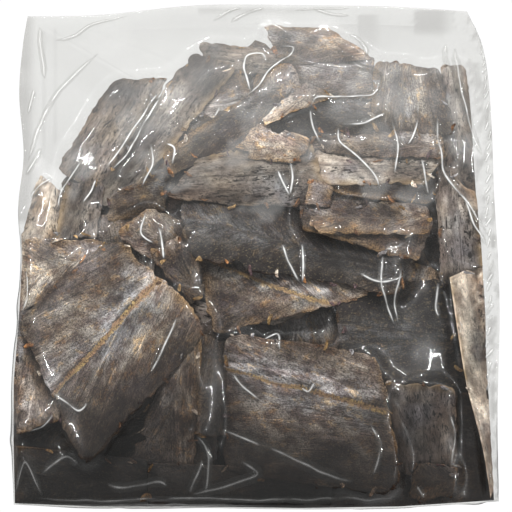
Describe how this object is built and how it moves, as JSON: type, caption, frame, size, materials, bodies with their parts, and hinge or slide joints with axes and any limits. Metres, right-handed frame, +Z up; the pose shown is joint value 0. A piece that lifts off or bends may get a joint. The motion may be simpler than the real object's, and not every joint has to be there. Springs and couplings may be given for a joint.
{
  "type": "clear bag of dried blue whiting snack",
  "caption": "Flat-lying clear film bag filled with a loose heap of splayed dried whitefish, with a flat empty header.",
  "frame": {"origin": "centre of the bag's bounding box, on the flat face that it lies on", "axes": "+Z up, out of the face that shows; +Y along the bag's length, towards its flat header; +X across the bag"},
  "size_m": [0.3002, 0.3134, 0.0598],
  "materials": {
    "clear_film": "clear glossy film drawn tight over the grey-brown fish inside it"
  },
  "bodies": {
    "root": {"bag": "clear_film"}
  },
  "joints": []
}
